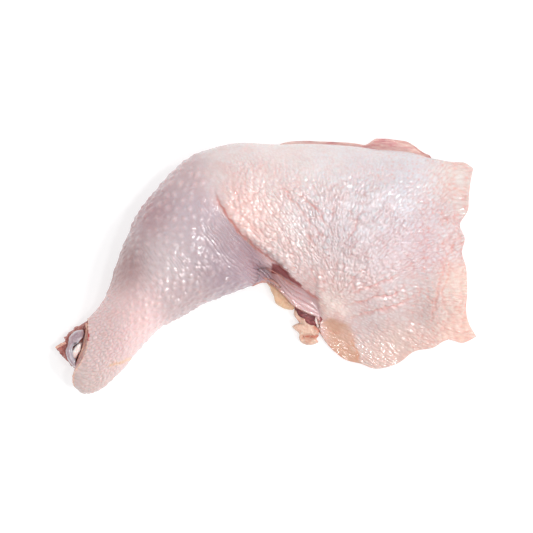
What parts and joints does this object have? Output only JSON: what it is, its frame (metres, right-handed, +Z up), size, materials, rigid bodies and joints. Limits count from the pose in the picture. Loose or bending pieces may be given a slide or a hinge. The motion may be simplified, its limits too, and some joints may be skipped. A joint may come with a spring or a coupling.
{
  "type": "raw chicken leg",
  "caption": "Raw chicken leg with the skin on, drumstick and thigh in one piece, lying skin side up.",
  "frame": {"origin": "under the middle of the leg, at the height of the surface it lies on", "axes": "+X from the hock to the thigh's free edge, +Y from the inside of the bend to the knee, +Z up"},
  "size_m": [0.2283, 0.1371, 0.045],
  "materials": {
    "skin": "satin",
    "meat": "satin",
    "fat": "satin",
    "cartilage": "gloss"
  },
  "bodies": {
    "root": {"skin": "skin", "meat": "meat", "fat_flap": "fat", "fat_lobes": "fat", "bend_meat": "meat", "hock_flesh": "meat", "hock_cartilage": "cartilage", "tendon_pad": "fat"}
  },
  "joints": []
}
